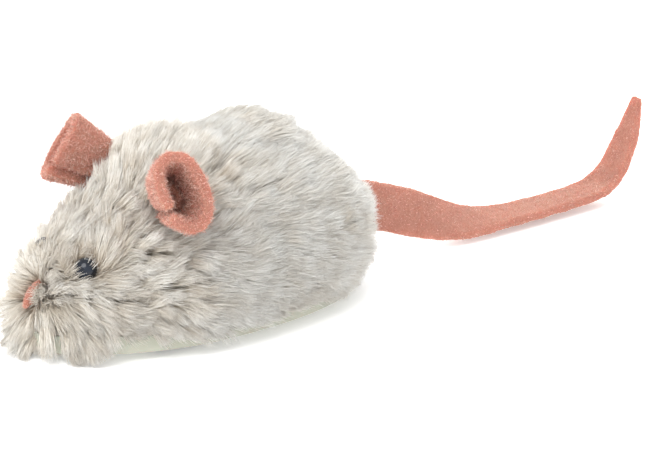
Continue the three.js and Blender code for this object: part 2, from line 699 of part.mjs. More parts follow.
function nosePad() {
  const profile = [[0, -0.7], [2.4, -0.7], [2.7, 0], [2.2, 0.7], [0, 1.0]];
  return aimed(turned(profile, 16, 'z'), NOSE, NOSE_DIRECTION);
}

// The tail: a felt strip that stands on edge at its root, twists flat and curls up to its point.
function tail() {
  const middle = new THREE.CatmullRomCurve3(TAIL_STATIONS.map(([y, z]) => new THREE.Vector3(0, y, z)));
  const steps = 2 * (TAIL_STATIONS.length - 1);
  const places = [];
  for (let i = 0; i <= steps; i++) {
    const share = i / 2;
    const before = TAIL_STATIONS[Math.floor(share)];
    const after = TAIL_STATIONS[Math.ceil(share)];
    const width = (before[2] + after[2]) / 2;
    const turn = THREE.MathUtils.degToRad((before[3] + after[3]) / 2);
    const place = middle.getPoint(i / steps);
    const along = middle.getTangent(i / steps);
    const normal = new THREE.Vector3(1, 0, 0).cross(along).normalize();
    const across = new THREE.Vector3(-Math.sin(turn), 0, 0).addScaledVector(normal, Math.cos(turn));
    const face = new THREE.Vector3().crossVectors(along, across).normalize();
    for (const [side, front] of [[-1, -1], [1, -1], [1, 1], [-1, 1]]) {
      const corner = place.clone().addScaledVector(across, side * width / 2);
      corner.addScaledVector(face, front * FELT / 2);
      places.push(corner.x, corner.y, corner.z);
    }
  }
  const faces = [0, 1, 2, 0, 2, 3];
  for (let i = 0; i < steps; i++) {
    for (let side = 0; side < 4; side++) {
      const a = 4 * i + side;
      const b = 4 * i + (side + 1) % 4;
      faces.push(a, a + 4, b + 4, a, b + 4, b);
    }
  }
  const last = 4 * steps;
  faces.push(last, last + 2, last + 1, last, last + 3, last + 2);
  const geometry = new THREE.BufferGeometry();
  geometry.setAttribute('position', new THREE.Float32BufferAttribute(places, 3));
  geometry.setIndex(faces);
  return geometry;
}

// ---------------------------------------------------------------- assembly

const FINISHES = {
  pile: [0xd9d3c9, 1.0, 0.0],
  felt: [0xe39c8c, 1.0, 0.0],
  cream_plastic: [0xdfe0cf, 0.5, 0.0],
  white_plastic: [0xf1eee6, 0.45, 0.0],
  black_gloss: [0x101216, 0.12, 0.0],
  steel: [0xa9adb3, 0.32, 1.0],
  spring_steel: [0x5e6f86, 0.28, 1.0],
  brass: [0xc8a350, 0.35, 1.0],
  rubber: [0x26262a, 0.9, 0.0],
};

const mouse = new THREE.Group();

function add(name, shape, finish) {
  const body = shape.isBufferGeometry ? solid(shape) : shape;
  const [color, roughness, metalness] = FINISHES[finish];
  const material = new THREE.MeshStandardMaterial({ color, roughness, metalness, flatShading: true });
  const mesh = new THREE.Mesh(geometryOf(body), material);
  mesh.name = name;
  mouse.add(mesh);
}

add('chassis', chassis(), 'cream_plastic');
add('body_shell', bodyShell(), 'cream_plastic');
add('plush_cover', plushCover(), 'pile');
add('tail', tail(), 'felt');
add('nose', nosePad(), 'felt');
for (const [side, place, mouth] of [
  ['left', (shape) => shape, LEFT_MOUTH], ['right', mirrored, RIGHT_MOUTH],
]) {
  add(`ear_${side}`, place(ear(mouth)), 'felt');
  add(`eye_${side}`, place(eye()), 'black_gloss');
  add(`eye_washer_${side}`, place(eyeWasher()), 'steel');
}

add('gearbox_plate_left', gearboxPlate(1), 'steel');
add('gearbox_plate_right', gearboxPlate(-1), 'steel');
for (const [name, place] of Object.entries(CROSSBAR_PLACES)) add(name, crossbar(place), 'white_plastic');
for (const [name, place] of Object.entries(PILLAR_PLACES)) add(name, pillar(place), 'steel');
for (const [name, place] of Object.entries(SPACERS)) {
  add(name.replace('gearbox', 'plate_screw'), plateScrew(place), 'steel');
}
for (const [name, [y]] of Object.entries(CROSSBAR_PLACES)) {
  const place = screw(1.5, 0.6, 0.6, 4.2, 'z').translate(0, y, 0.1);
  add(name.replace('gearbox_crossbar', 'gearbox_screw'), place, 'steel');
}
for (const [name, [x, y]] of Object.entries(SCREW_PLACES)) {
  add(name, screw(1.5, 0.6, 0.6, 7.0, 'z').translate(x, y, 0.1), 'steel');
}

add('mainspring', mainspring(), 'spring_steel');
add('winding_arbor', windingArbor(), 'steel');
add('ratchet_wheel', ratchetWheel(), 'steel');
add('winding_key', windingKey(), 'white_plastic');
add('key_bushing', keyBushing(), 'white_plastic');

const rivetHole = at(rod(0.8, 0, 8, 12), CLICK_PIVOT);
const greatGear = solid(gear(ARBOR, GREAT_TEETH, GREAT_PHASE, LEFT_LEVEL, ARBOR_RADIUS + GAP));
add('great_gear', cut(greatGear, rivetHole), 'brass');
add('click', click(), 'steel');
add('click_rivet', clickRivet(), 'steel');
add('click_spring', clickSpring(), 'spring_steel');

const shaftEnd = PLATE_INNER + PLATE_THICKNESS;
add('intermediate_gear_1', compoundGear(
  SHAFT_1, WHEEL_1_TEETH, RIGHT_LEVEL, PINION_1_PHASE, LEFT_LEVEL, 1.7), 'white_plastic');
add('intermediate_shaft_1', at(rod(SHAFT_RADIUS, -shaftEnd, shaftEnd, 12), SHAFT_1), 'steel');
add('intermediate_gear_2', compoundGear(
  SHAFT_2, WHEEL_2_TEETH, LEFT_LEVEL, PINION_2_PHASE, RIGHT_LEVEL, 1.6), 'white_plastic');
add('intermediate_shaft_2', at(rod(SHAFT_RADIUS, -shaftEnd, shaftEnd, 12), SHAFT_2), 'steel');
add('axle_pinion', gear(
  DRIVE_AXLE, PINION_TEETH, PINION_3_PHASE, widened(LEFT_LEVEL), AXLE_RADIUS + 0.2), 'brass');
add('drive_axle', at(rod(AXLE_RADIUS, -AXLE_END, AXLE_END, 14), DRIVE_AXLE), 'steel');
for (const [side, sign] of [['left', 1], ['right', -1]]) {
  add(`drive_wheel_${side}`, driveWheel(sign), 'white_plastic');
  add(`tyre_${side}`, tyre(sign), 'rubber');
}
add('rear_axle', at(rod(SHAFT_RADIUS, -6.2, 6.2, 12), ROLLER), 'steel');
add('rear_roller', rearRoller(), 'white_plastic');

export default mouse;
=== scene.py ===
"""A clockwork mouse: plush coat, felt ears and tail and glossy eyes round the CAD clockwork."""

import json
import math

import bpy
import numpy as np
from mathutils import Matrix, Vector, noise
from mathutils.kdtree import KDTree


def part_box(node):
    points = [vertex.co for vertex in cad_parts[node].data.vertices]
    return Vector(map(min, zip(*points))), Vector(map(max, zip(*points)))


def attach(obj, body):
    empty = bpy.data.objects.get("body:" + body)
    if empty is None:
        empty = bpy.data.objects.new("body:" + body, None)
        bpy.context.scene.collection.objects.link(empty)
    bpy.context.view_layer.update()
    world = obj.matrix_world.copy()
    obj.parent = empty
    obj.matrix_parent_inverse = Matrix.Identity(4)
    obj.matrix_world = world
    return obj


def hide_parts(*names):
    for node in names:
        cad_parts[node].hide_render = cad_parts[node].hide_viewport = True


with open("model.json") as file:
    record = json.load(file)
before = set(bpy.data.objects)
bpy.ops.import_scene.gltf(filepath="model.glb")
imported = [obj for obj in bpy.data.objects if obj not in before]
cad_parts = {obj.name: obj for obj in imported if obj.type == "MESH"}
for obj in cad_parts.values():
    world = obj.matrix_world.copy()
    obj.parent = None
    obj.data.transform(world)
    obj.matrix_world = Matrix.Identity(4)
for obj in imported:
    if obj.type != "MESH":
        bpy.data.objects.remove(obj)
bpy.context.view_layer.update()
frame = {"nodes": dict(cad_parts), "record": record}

MM = 0.001
BODY = "mouse_body"

# ---------------------------------------------------------------- driving sizes, millimetres and degrees

FLOOR = -1.6                      # the wheels reach this far below the chassis underside

VIEW_AZIMUTH = 52.5
VIEW_ELEVATION = 20.0
VIEW_DISTANCE = 600.0
VIEW_AIM = (10.6, 21.7, 11.5)
VIEW_LENS = 197.6

# The coat's outside as shares of its CAD box: height, nose end, rump end, half width, and how much
# narrower the plan gets towards the nose.
COAT_SHAPE = (
    (-0.06, 0.935, 0.947, 0.86, 0.32),
    (0.00, 0.955, 0.962, 0.894, 0.34),
    (0.20, 1.0, 1.0, 1.0, 0.44),
    (0.37, 0.927, 0.978, 1.0, 0.50),
    (0.52, 0.782, 0.923, 0.935, 0.54),
    (0.69, 0.521, 0.819, 0.787, 0.56),
    (0.82, 0.227, 0.703, 0.611, 0.50),
    (0.92, -0.073, 0.577, 0.407, 0.40),
    (0.98, -0.273, 0.467, 0.213, 0.32),
    (1.00, -0.394, 0.357, 0.0, 0.32),
)
SQUARENESS = 2.4
BACKING_INSET = 3.3               # the backing cloth's depth below the coat's outside
HEAD_INSET = 3.6                  # and on the head
BACKING_THICKNESS = 0.3

FELT = 1.9                        # the ears' felt
TAIL_FELT = 1.7
SEED = 7


# ---------------------------------------------------------------- small helpers

def metres(points):
    return np.asarray(points, float) * MM


def millimetres(node):
    low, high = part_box(node)
    return np.array(low) / MM, np.array(high) / MM


def unit(vectors):
    vectors = np.asarray(vectors, float)
    return vectors / np.maximum(np.linalg.norm(vectors, axis=-1, keepdims=True), 1e-9)


def smooth_step(value, low, high):
    share = np.clip((value - low) / (high - low), 0, 1)
    return share * share * (3 - 2 * share)


def falling_step(value, low, high):
    return 1 - smooth_step(value, low, high)


def make_mesh(name, vertices, faces, material):
    """A smooth-shaded mesh object from vertices in millimetres."""
    mesh = bpy.data.meshes.new(name)
    mesh.from_pydata([tuple(v) for v in metres(vertices)], [], [tuple(int(i) for i in f) for f in faces])
    mesh.validate()
    mesh.polygons.foreach_set("use_smooth", [True] * len(mesh.polygons))
    mesh.materials.append(material)
    piece = bpy.data.objects.new(name, mesh)
    bpy.context.scene.collection.objects.link(piece)
    return piece


def grid_faces(rows, columns, closed_columns=False):
    faces = []
    for row in range(rows - 1):
        for column in range(columns if closed_columns else columns - 1):
            here = row * columns + column
            beside = row * columns + (column + 1) % columns
            faces.append((here, beside, beside + columns, here + columns))
    return faces


# ---------------------------------------------------------------- camera, floor and light

FLOOR_HALF = 2500
FLOOR_GLOW = 0.28                 # keeps the floor near white
SKY_STRENGTH = 1.12

# The lamps' places, targets and sizes are in metres, and their power in watts.
KEY_LIGHT = dict(place=(0.25, -0.50, 0.75), target=(0, 0.01, 0.01), size=0.60, power=5.5)
BACK_LIGHT = dict(place=(-0.5, 0.45, 0.6), target=(0, 0.02, 0.01), size=0.5, power=4.5)


def view_direction():
    azimuth = math.radians(VIEW_AZIMUTH)
    elevation = math.radians(VIEW_ELEVATION)
    return Vector((
        -math.sin(azimuth) * math.cos(elevation),
        math.cos(azimuth) * math.cos(elevation),
        -math.sin(elevation)))


def make_camera():
    data = bpy.data.cameras.new("camera")
    data.lens = VIEW_LENS
    data.sensor_width = 36
    data.clip_start = 0.01
    data.clip_end = 20
    camera = bpy.data.objects.new("camera", data)
    forward = view_direction()
    camera.location = Vector(VIEW_AIM) * MM - forward * VIEW_DISTANCE * MM
    camera.rotation_euler = forward.to_track_quat("-Z", "Y").to_euler()
    bpy.context.scene.collection.objects.link(camera)
    bpy.context.scene.camera = camera


def make_floor():
    half = FLOOR_HALF
    corners = [(-half, -half, FLOOR), (half, -half, FLOOR), (half, half, FLOOR), (-half, half, FLOOR)]
    material = bpy.data.materials.new("studio_floor")
    material.use_nodes = True
    shader = material.node_tree.nodes["Principled BSDF"]
    shader.inputs["Base Color"].default_value = (0.97, 0.97, 0.97, 1)
    shader.inputs["Roughness"].default_value = 0.9
    shader.inputs["Emission Color"].default_value = (1, 1, 1, 1)
    shader.inputs["Emission Strength"].default_value = FLOOR_GLOW
    floor = make_mesh("studio_floor", corners, [(0, 1, 2, 3)], material)


def area_light(name, place, target, size, power):
    data = bpy.data.lights.new(name, "AREA")
    data.shape = "DISK"
    data.size = size
    data.energy = power
    lamp = bpy.data.objects.new(name, data)
    lamp.location = place
    lamp.rotation_euler = (Vector(target) - Vector(place)).to_track_quat("-Z", "Y").to_euler()
    bpy.context.scene.collection.objects.link(lamp)


def make_light():
    world = bpy.data.worlds.new("studio")
    world.use_nodes = True
    world.node_tree.nodes["Background"].inputs["Color"].default_value = (1, 1, 1, 1)
    world.node_tree.nodes["Background"].inputs["Strength"].default_value = SKY_STRENGTH
    bpy.context.scene.world = world
    bpy.context.scene.view_settings.view_transform = "Standard"
    area_light("key_light", **KEY_LIGHT)
    area_light("back_light", **BACK_LIGHT)


# ---------------------------------------------------------------- materials

class Nodes:
    """Short calls for building one material's nodes."""

    def __init__(self, name):
        self.material = bpy.data.materials.new(name)
        self.material.use_nodes = True
        self.tree = self.material.node_tree
        self.shader = self.tree.nodes["Principled BSDF"]

    def add(self, kind, **inputs):
        node = self.tree.nodes.new(kind)
        for name, value in inputs.items():
            socket = node.inputs[name.replace("_", " ")]
            if isinstance(value, bpy.types.NodeSocket):
                self.tree.links.new(value, socket)
            else:
                socket.default_value = value
        return node

    def link(self, output, target):
        self.tree.links.new(output, target)

    def place(self, scale=1.0):
        """Object coordinates in millimetres, times a scale."""
        mapping = self.add("ShaderNodeMapping")
        mapping.inputs["Scale"].default_value = (scale / MM,) * 3
        self.link(self.add("ShaderNodeTexCoord").outputs["Object"], mapping.inputs["Vector"])
        return mapping.outputs["Vector"]

    def noise(self, per_mm, detail=3.0, roughness=0.6):
        texture = self.add("ShaderNodeTexNoise", Scale=1.0, Detail=detail, Roughness=roughness)
        self.link(self.place(per_mm), texture.inputs["Vector"])
        return texture.outputs["Fac"]

    def ramp(self, factor, *stops):
        node = self.add("ShaderNodeValToRGB", Fac=factor)
        ramp = node.color_ramp
        while len(ramp.elements) < len(stops):
            ramp.elements.new(0.5)
        for element, (position, colour) in zip(ramp.elements, stops):
            element.position = position
            element.color = (*colour, 1)
        return node.outputs["Color"]

    def mix(self, factor, first, second, blend="MIX"):
        node = self.tree.nodes.new("ShaderNodeMix")
        node.data_type = "RGBA"
        node.blend_type = blend
        for socket, value in ((node.inputs[0], factor), (node.inputs[6], first), (node.inputs[7], second)):
            if isinstance(value, bpy.types.NodeSocket):
                self.link(value, socket)
            elif isinstance(value, tuple):
                socket.default_value = (*value, 1)
            else:
                socket.default_value = value
        return node.outputs[2]

    def attribute(self, name):
        node = self.tree.nodes.new("ShaderNodeAttribute")
        node.attribute_name = name
        return node.outputs["Fac"]

    def bump(self, height, strength, distance_mm):
        node = self.add("ShaderNodeBump", Height=height, Strength=strength, Distance=distance_mm * MM)
        self.link(node.outputs["Normal"], self.shader.inputs["Normal"])

    def finish(self, colour, roughness, **others):
        for name, value in {"Base Color": colour, "Roughness": roughness, **others}.items():
            socket = self.shader.inputs[name.replace("_", " ")]
            if isinstance(value, bpy.types.NodeSocket):
                self.link(value, socket)
            elif isinstance(value, tuple):
                socket.default_value = (*value, 1) if len(value) == 3 else value
            else:
                socket.default_value = value
        return self.material


def pile_material(name, root, middle, tip, dullest):
    """Plush pile: dark at the root and pale at the tip, with patches a few millimetres across."""
    n = Nodes(name)
    along = n.attribute("along")
    strand = n.ramp(along, (0.0, root), (0.42, middle), (0.85, tip))
    patches = n.ramp(n.noise(0.16, 2.0), (0.34, (0.86, 0.82, 0.77)), (0.62, (1.0, 1.0, 1.0)))
    tone = n.ramp(
        n.attribute("tone"), (0.0, dullest), (0.7, (0.97, 0.96, 0.95)), (1.0, (1.10, 1.10, 1.10)))
    colour = n.mix(1.0, n.mix(0.75, strand, patches, "MULTIPLY"), tone, "MULTIPLY")
    return n.finish(colour, 0.62, Sheen_Weight=0.25, Sheen_Roughness=0.5, Specular_IOR_Level=0.35)


def backing_material():
    """The knitted cloth that the pile stands on."""
    n = Nodes("backing_cloth")
    weave = n.add("ShaderNodeTexWave", Scale=1.0, Distortion=2.5, Detail=2.0)
    n.link(n.place(0.9), weave.inputs["Vector"])
    colour = n.ramp(n.noise(0.5), (0.3, (0.62, 0.56, 0.49)), (0.7, (0.76, 0.70, 0.63)))
    n.bump(weave.outputs["Fac"], 0.5, 0.2)
    return n.finish(colour, 0.95)


def felt_material(name, shade):
    """Pressed felt: salmon pink, mottled at fibre scale, with a paler haze."""
    n = Nodes(name)
    deep = tuple(channel * shade for channel in (0.43, 0.178, 0.126))
    pale = tuple(channel * shade for channel in (0.56, 0.300, 0.228))
    speck = n.ramp(n.noise(2.6, 5.0, 0.75), (0.36, deep), (0.66, pale))
    cloud = n.ramp(n.noise(0.35, 2.0), (0.35, (0.86, 0.84, 0.84)), (0.70, (1.0, 1.0, 1.0)))
    colour = n.mix(0.8, speck, cloud, "MULTIPLY")
    n.bump(n.noise(3.4, 6.0, 0.8), 0.75, 0.35)
    n.shader.inputs["Subsurface Radius"].default_value = (1.0, 0.32, 0.22)
    return n.finish(colour, 0.93, Subsurface_Weight=0.60, Subsurface_Scale=0.004, Sheen_Weight=0.06,
                    Sheen_Roughness=0.45, Sheen_Tint=(1.0, 0.80, 0.74), Specular_IOR_Level=0.2)


def fibre_material():
    """Loose fibres that stand off the felt."""
    n = Nodes("felt_fibre")
    # The fibres' colours run at random from deep red to pale pink. The palest are partly the felt's own
    # paler loose fibres and partly painted glints of light on them.
    colour = n.ramp(n.attribute("tone"), (0.0, (0.52, 0.19, 0.14)), (0.6, (0.80, 0.42, 0.33)),
                    (1.0, (1.0, 0.78, 0.66)))
    return n.finish(colour, 0.6, Sheen_Weight=0.12, Specular_IOR_Level=0.25)


def eye_material():
    """Polished black plastic with a faint blue bloom of handling marks."""
    n = Nodes("eye_gloss")
    colour = n.ramp(n.noise(0.8, 3.0), (0.3, (0.006, 0.007, 0.010)), (0.8, (0.020, 0.026, 0.040)))
    roughness = n.add("ShaderNodeMapRange", Value=n.noise(1.8, 4.0))
    roughness.inputs["To Min"].default_value = 0.05
    roughness.inputs["To Max"].default_value = 0.16
    return n.finish(colour, roughness.outputs["Result"], Specular_IOR_Level=0.32)


def moulded_material(name, dark, pale, roughness, translucency):
    """Moulded plastic: slight clouding, fine texture and rubbed high spots."""
    n = Nodes(name)
    colour = n.ramp(n.noise(0.12, 3.0), (0.30, dark), (0.72, pale))
    scuffs = n.ramp(n.noise(1.4, 6.0, 0.7), (0.60, (1.0, 1.0, 1.0)), (0.80, (0.93, 0.92, 0.90)))
    gloss = n.add("ShaderNodeMapRange", Value=n.noise(0.9, 5.0, 0.7))
    gloss.inputs["To Min"].default_value = roughness - 0.10
    gloss.inputs["To Max"].default_value = roughness + 0.14
    n.bump(n.noise(5.0, 4.0), 0.12, 0.05)
    return n.finish(n.mix(0.8, colour, scuffs, "MULTIPLY"), gloss.outputs["Result"],
                    Subsurface_Weight=translucency, Subsurface_Scale=0.0012, IOR=1.49)


def metal_material(name, dark, pale, roughness):
    """Sheet metal and turned rod: drawing lines, dulled patches."""
    n = Nodes(name)
    lines = n.add("ShaderNodeTexNoise", Scale=1.0, Detail=4.0)
    stretch = n.add("ShaderNodeMapping")
    stretch.inputs["Scale"].default_value = (0.8 / MM, 9.0 / MM, 0.8 / MM)
    n.link(n.add("ShaderNodeTexCoord").outputs["Object"], stretch.inputs["Vector"])
    n.link(stretch.outputs["Vector"], lines.inputs["Vector"])
    colour = n.ramp(n.noise(0.5, 4.0), (0.3, dark), (0.7, pale))
    gloss = n.add("ShaderNodeMapRange", Value=lines.outputs["Fac"])
    gloss.inputs["To Min"].default_value = roughness - 0.08
    gloss.inputs["To Max"].default_value = roughness + 0.18
    n.bump(lines.outputs["Fac"], 0.15, 0.03)
    return n.finish(colour, gloss.outputs["Result"], Metallic=1.0)


def rubber_material():
    """Moulded rubber with a dusty bloom."""
    n = Nodes("tyre_rubber")
    colour = n.ramp(n.noise(0.7, 5.0), (0.3, (0.012, 0.012, 0.014)), (0.75, (0.040, 0.039, 0.040)))
    n.bump(n.noise(3.0, 5.0), 0.35, 0.12)
    return n.finish(colour, 0.82)


SHARP_ANGLE = math.radians(38)    # faces of the turned and moulded parts meet smoothly below this
EDGE_ROUNDING = 0.10


def dress_cad(nodes):
    """Gives each CAD node that stays a detailed material, softened edges and smooth turned faces."""
    finishes = {
        "cream_plastic": moulded_material(
            "cream_plastic", (0.40, 0.405, 0.33), (0.49, 0.495, 0.41), 0.42, 0.15),
        "white_plastic": moulded_material(
            "white_plastic", (0.44, 0.43, 0.40), (0.52, 0.51, 0.47), 0.38, 0.10),
        "steel": metal_material("zinc_steel", (0.46, 0.47, 0.49), (0.66, 0.67, 0.68), 0.30),
        "spring_steel": metal_material("blued_steel", (0.13, 0.17, 0.26), (0.26, 0.30, 0.38), 0.26),
        "brass": metal_material("brass", (0.58, 0.40, 0.14), (0.78, 0.58, 0.25), 0.28),
        "rubber": rubber_material(),
        "black_gloss": eye_material(),
        "pile": backing_material(),
        "felt": felt_material("felt_plain", 0.88),
    }
    for part in frame["record"]["subparts"]:
        node = nodes[part["node"]]
        node.data.materials.clear()
        node.data.materials.append(finishes[part["material_slot"]])
        node.data.polygons.foreach_set("use_smooth", [True] * len(node.data.polygons))
        node.data.set_sharp_from_angle(angle=SHARP_ANGLE)
        softened = node.modifiers.new("softened_edges", "BEVEL")
        softened.width = EDGE_ROUNDING * MM
        softened.segments = 2
        softened.limit_method = "ANGLE"
        softened.angle_limit = SHARP_ANGLE
    return finishes


# ---------------------------------------------------------------- the body's surface

COAT_LOW, COAT_HIGH = millimetres("plush_cover")
COAT_HALF_WIDTH = COAT_HIGH[0]
COAT_HEIGHT = COAT_HIGH[2] - COAT_LOW[2]


def smooth_rows(table, shares):
    """The table's rows at any height share, joined by smooth curves instead of straight lines."""
    table = np.array(table)
    heights = table[:, 0]
    slopes = np.gradient(table[:, 1:], heights, axis=0)
    index = np.clip(np.searchsorted(heights, shares, side="right") - 1, 0, len(heights) - 2)
    step = heights[index + 1] - heights[index]
    t = ((shares - heights[index]) / step)[:, None]
    step = step[:, None]
    low, high = table[index, 1:], table[index + 1, 1:]
    cubic = (2 * t ** 3 - 3 * t ** 2 + 1) * low + (t ** 3 - 2 * t ** 2 + t) * step * slopes[index]
    return cubic + (3 * t ** 2 - 2 * t ** 3) * high + (t ** 3 - t ** 2) * step * slopes[index + 1]


def body_point(share, angle, inset):
    """Points of the coat's surface at height shares and plan angles, a depth below the pile's tips."""
    rows = smooth_rows(COAT_SHAPE, share)
    nose_end = rows[:, 0] * COAT_LOW[1]
    rump_end = rows[:, 1] * COAT_HIGH[1]
    half_width = np.maximum(rows[:, 2], 0) * COAT_HALF_WIDTH
    power = 2 / SQUARENESS
    across = np.sign(np.cos(angle)) * np.abs(np.cos(angle)) ** power
    along = np.sign(np.sin(angle)) * np.abs(np.sin(angle)) ** power
    taper = 1 - rows[:, 3] * np.minimum(along, 0) ** 2
    x = half_width * across * taper * (1 - inset / COAT_HALF_WIDTH)
    y = ((nose_end + rump_end) / 2 + along * (rump_end - nose_end) / 2) * (1 - inset / COAT_HIGH[1])
    z = COAT_LOW[2] + share * COAT_HEIGHT * (1 - inset / COAT_HEIGHT)
    return np.stack([x, y, z], axis=1)


def head_share(root):
    """1 on the head, fading to 0 behind the ears."""
    return falling_step(root[:, 1:2], -20, -5)


def cloth_point(share, angle):
    """Points of the backing cloth, which lies closer to the shell on the head."""
    head = head_share(body_point(share, angle, BACKING_INSET))[:, 0]
    return body_point(share, angle, BACKING_INSET + (HEAD_INSET - BACKING_INSET) * head)


def cloth_grid(rows, columns):
    """Vertices and faces of the backing cloth, open below and closed by a point at the crest."""
    shares = np.sin(np.linspace(0, math.pi / 2, rows))
    angles = np.linspace(0, 2 * math.pi, columns, endpoint=False)
    share_grid, angle_grid = np.meshgrid(shares[:-1], angles, indexing="ij")
    points = cloth_point(share_grid.ravel(), angle_grid.ravel())
    crest = cloth_point(np.array([0.9999]), np.array([0.0]))[0]
    crest[0] = 0
    points = np.vstack([points, crest])
    faces = grid_faces(rows - 1, columns, closed_columns=True)
    last = (rows - 2) * columns
    faces += [(last + i, last + (i + 1) % columns, len(points) - 1) for i in range(columns)]
    return points, faces


# ---------------------------------------------------------------- places on the body

def middle_of(node):
    low, high = millimetres(node)
    return (low + high) / 2


NOSE_PLACE = middle_of("nose")
NOSE_DIRECTION = np.array([0.0, -0.760, 0.650])
NOSE_ROOT = NOSE_PLACE + np.array([0, 0.9, -0.2])        # the pile parts round this point
NOSE_DEPTH = 0.9
NOSE_HALF_HEIGHT = 2.7
NOSE_SLIMNESS = 0.32              # its width as a share of its height

KEY_PLACE = middle_of("key_bushing")

EYE_PLACE = np.array([6.3, -23.7, 14.0])
EYE_DIRECTION = np.array([0.620, -0.620, 0.480])
EYE_RADIUS = 1.9
EYE_DOME = 1.5
EYE_STEM = 6.2

EYE_CLEARING = 1.8                # no pile grows nearer than this to an eye's axis
NOSE_CLEARING = 1.35              # nor to the middle of the nose pad, counting sideways more than up
KEY_CLEARING = 3.6                # nor, on the right, to the key's axis
EAR_CLEARING = 5.2                # half the width of the bare place at an ear's mouth
EAR_TALLNESS = 1.35               # and its height as a share of its width

EAR_BASE = np.array([10.0, -9.6, 24.5])
LEFT_MOUTH = np.array([19.0, -12.5, 28.2])
RIGHT_MOUTH = np.array([14.2, -16.6, 28.9])              # given on the left, then mirrored
LEFT_FOOT = 0.60                  # each ear's width at its root, as a share of its width at its mouth
RIGHT_FOOT = 0.64
RIGHT_REACH = 0.86                # the right ear's felt ends short of the CAD's mouth
MIRROR = np.array([-1.0, 1.0, 1.0])


# ---------------------------------------------------------------- the pile

ROOTS = 190000                    # strands on the whole coat, before the bare places are cleared
LOCK_SPACING = 1.25               # millimetres between the small locks that strands gather into
WAVE_SPACING = 5.0                # and between the broad waves that the locks lie in
STRAND_RADIUS = 0.044
STRAY_SHARE = 0.22                # of the strands by the eyes lie across them
UNDERCOAT_SHARE = 0.28            # of the strands are short, dull ones close to the cloth
REACH = 6.0                       # how far a strand's tip lies from its root along the cloth
REACH_CHANGES = {"head": -1.4, "jowl": 1.4, "chin": 0.3, "hem": -2.0, "crown": -1.2}
RISE = 2.6                        # and how high it stands above the cloth
RISE_CHANGES = {
    "head": 0.4, "croup": -0.3, "jowl": 0.5, "crown": 3.2, "brow": -1.7, "chin": 1.3, "saddle": -1.2,
}
RING_SHARES = np.array([0.0, 0.42, 0.78, 1.0])           # a strand's three rings and its point, along it
RING_WIDTHS = np.array([1.0, 0.95, 0.62])                # each ring's radius as a share of the strand's


def dot(first, second):
    return np.sum(first * second, axis=1, keepdims=True)


def scatter_roots(count, rng):
    """Random points of the cloth, with outward normals, evenly spread but closer under the chin."""
    rows, columns = 80, 160
    shares = np.sin(np.linspace(0, math.pi / 2, rows + 1))
    angles = np.linspace(0, 2 * math.pi, columns + 1)
    share_grid, angle_grid = np.meshgrid(shares, angles, indexing="ij")
    corners = cloth_point(share_grid.ravel(), angle_grid.ravel()).reshape(rows + 1, columns + 1, 3)
    rising = corners[1:, 1:] - corners[:-1, :-1]
    falling = corners[:-1, 1:] - corners[1:, :-1]
    area = np.linalg.norm(np.cross(rising, falling), axis=2).ravel()
    middles = (corners[1:, 1:] + corners[:-1, :-1]).reshape(-1, 3) / 2
    chin = falling_step(middles[:, 2], 5, 8) * falling_step(middles[:, 1], -20, -12)
    weight = area * (1 + 1.6 * chin)
    cell = rng.choice(area.size, count, p=weight / weight.sum())
    row, column = cell // columns, cell % columns
    share = shares[row] + (shares[row + 1] - shares[row]) * rng.random(count)
    share = np.minimum(share, 0.998)
    angle = angles[column] + (angles[column + 1] - angles[column]) * rng.random(count)
    root = cloth_point(share, angle)
    step = 1e-3
    upward = cloth_point(share + step, angle) - root
    onward = cloth_point(share, angle + step) - root
    return root, unit(np.cross(onward, upward))


def comb(root, normal, rng):
    """The way the pile is brushed: out from the nose and eyes on the head, back along the body."""
    height = root[:, 2:3]
    parted = rng.random((len(root), 1)) > STRAY_SHARE
    head = head_share(root)
    from_nose = root - (NOSE_ROOT + np.array([0, 1.5, 0]))
    parting = falling_step(np.linalg.norm(from_nose, axis=1, keepdims=True), 3.0, 7.0)
    parting = parting * smooth_step(height, 4, 8)
    from_nose = unit(from_nose * (1 + parting * np.array([1.2, 0, -0.3])))
    rise = 0.40 * smooth_step(height, 17, 25) - 0.18 * falling_step(height, 8, 16)
    backward = np.concatenate([np.zeros_like(rise), np.ones_like(rise), rise], axis=1)
    lean = unit(from_nose * head + unit(backward) * (1 - head))
    for mirror in (np.ones(3), MIRROR):
        from_eye = root - (EYE_PLACE - unit(EYE_DIRECTION) * 2.0) * mirror
        near = falling_step(np.linalg.norm(from_eye, axis=1, keepdims=True), 2.5, 5.0)
        lean = lean + unit(from_eye) * near * parted * 1.3
    skirt = falling_step(height, 4, 9)
    ends = 0.9 * falling_step(root[:, 1:2], -24, -17) + 0.6 * smooth_step(root[:, 1:2], 12, 20)
    lean = lean + skirt * ends * np.array([0, 0, -1.0])
    return unit(lean - normal * dot(lean, normal))


def drift(points, scale, offset):
    """A smooth random value from about -1 to 1 at each point."""
    return np.array([noise.noise(Vector(p) * scale + Vector((offset, 0, 0))) for p in points])[:, None]


def gather(root, spacing, rng):
    """The nearest of evenly spaced centres to each root, and the centres' own roots."""
    order = rng.permutation(len(root))
    centres = []
    tree = KDTree(len(root))
    for i, point in enumerate(root):
        tree.insert(point, i)
    tree.balance()
    free = np.ones(len(root), bool)
    for i in order:
        if free[i]:
            centres.append(i)
            for _, j, _ in tree.find_range(root[i], spacing):
                free[j] = False
    centre_tree = KDTree(len(centres))
    for k, i in enumerate(centres):
        centre_tree.insert(root[i], k)
    centre_tree.balance()
    nearest = np.array([centre_tree.find(point)[1] for point in root])
    return nearest, np.array(centres)


def spread(group, amount, rng):
    """One random number for each lock or wave, given to all its strands."""
    return amount * rng.normal(size=(group.max() + 1, 1))[group]


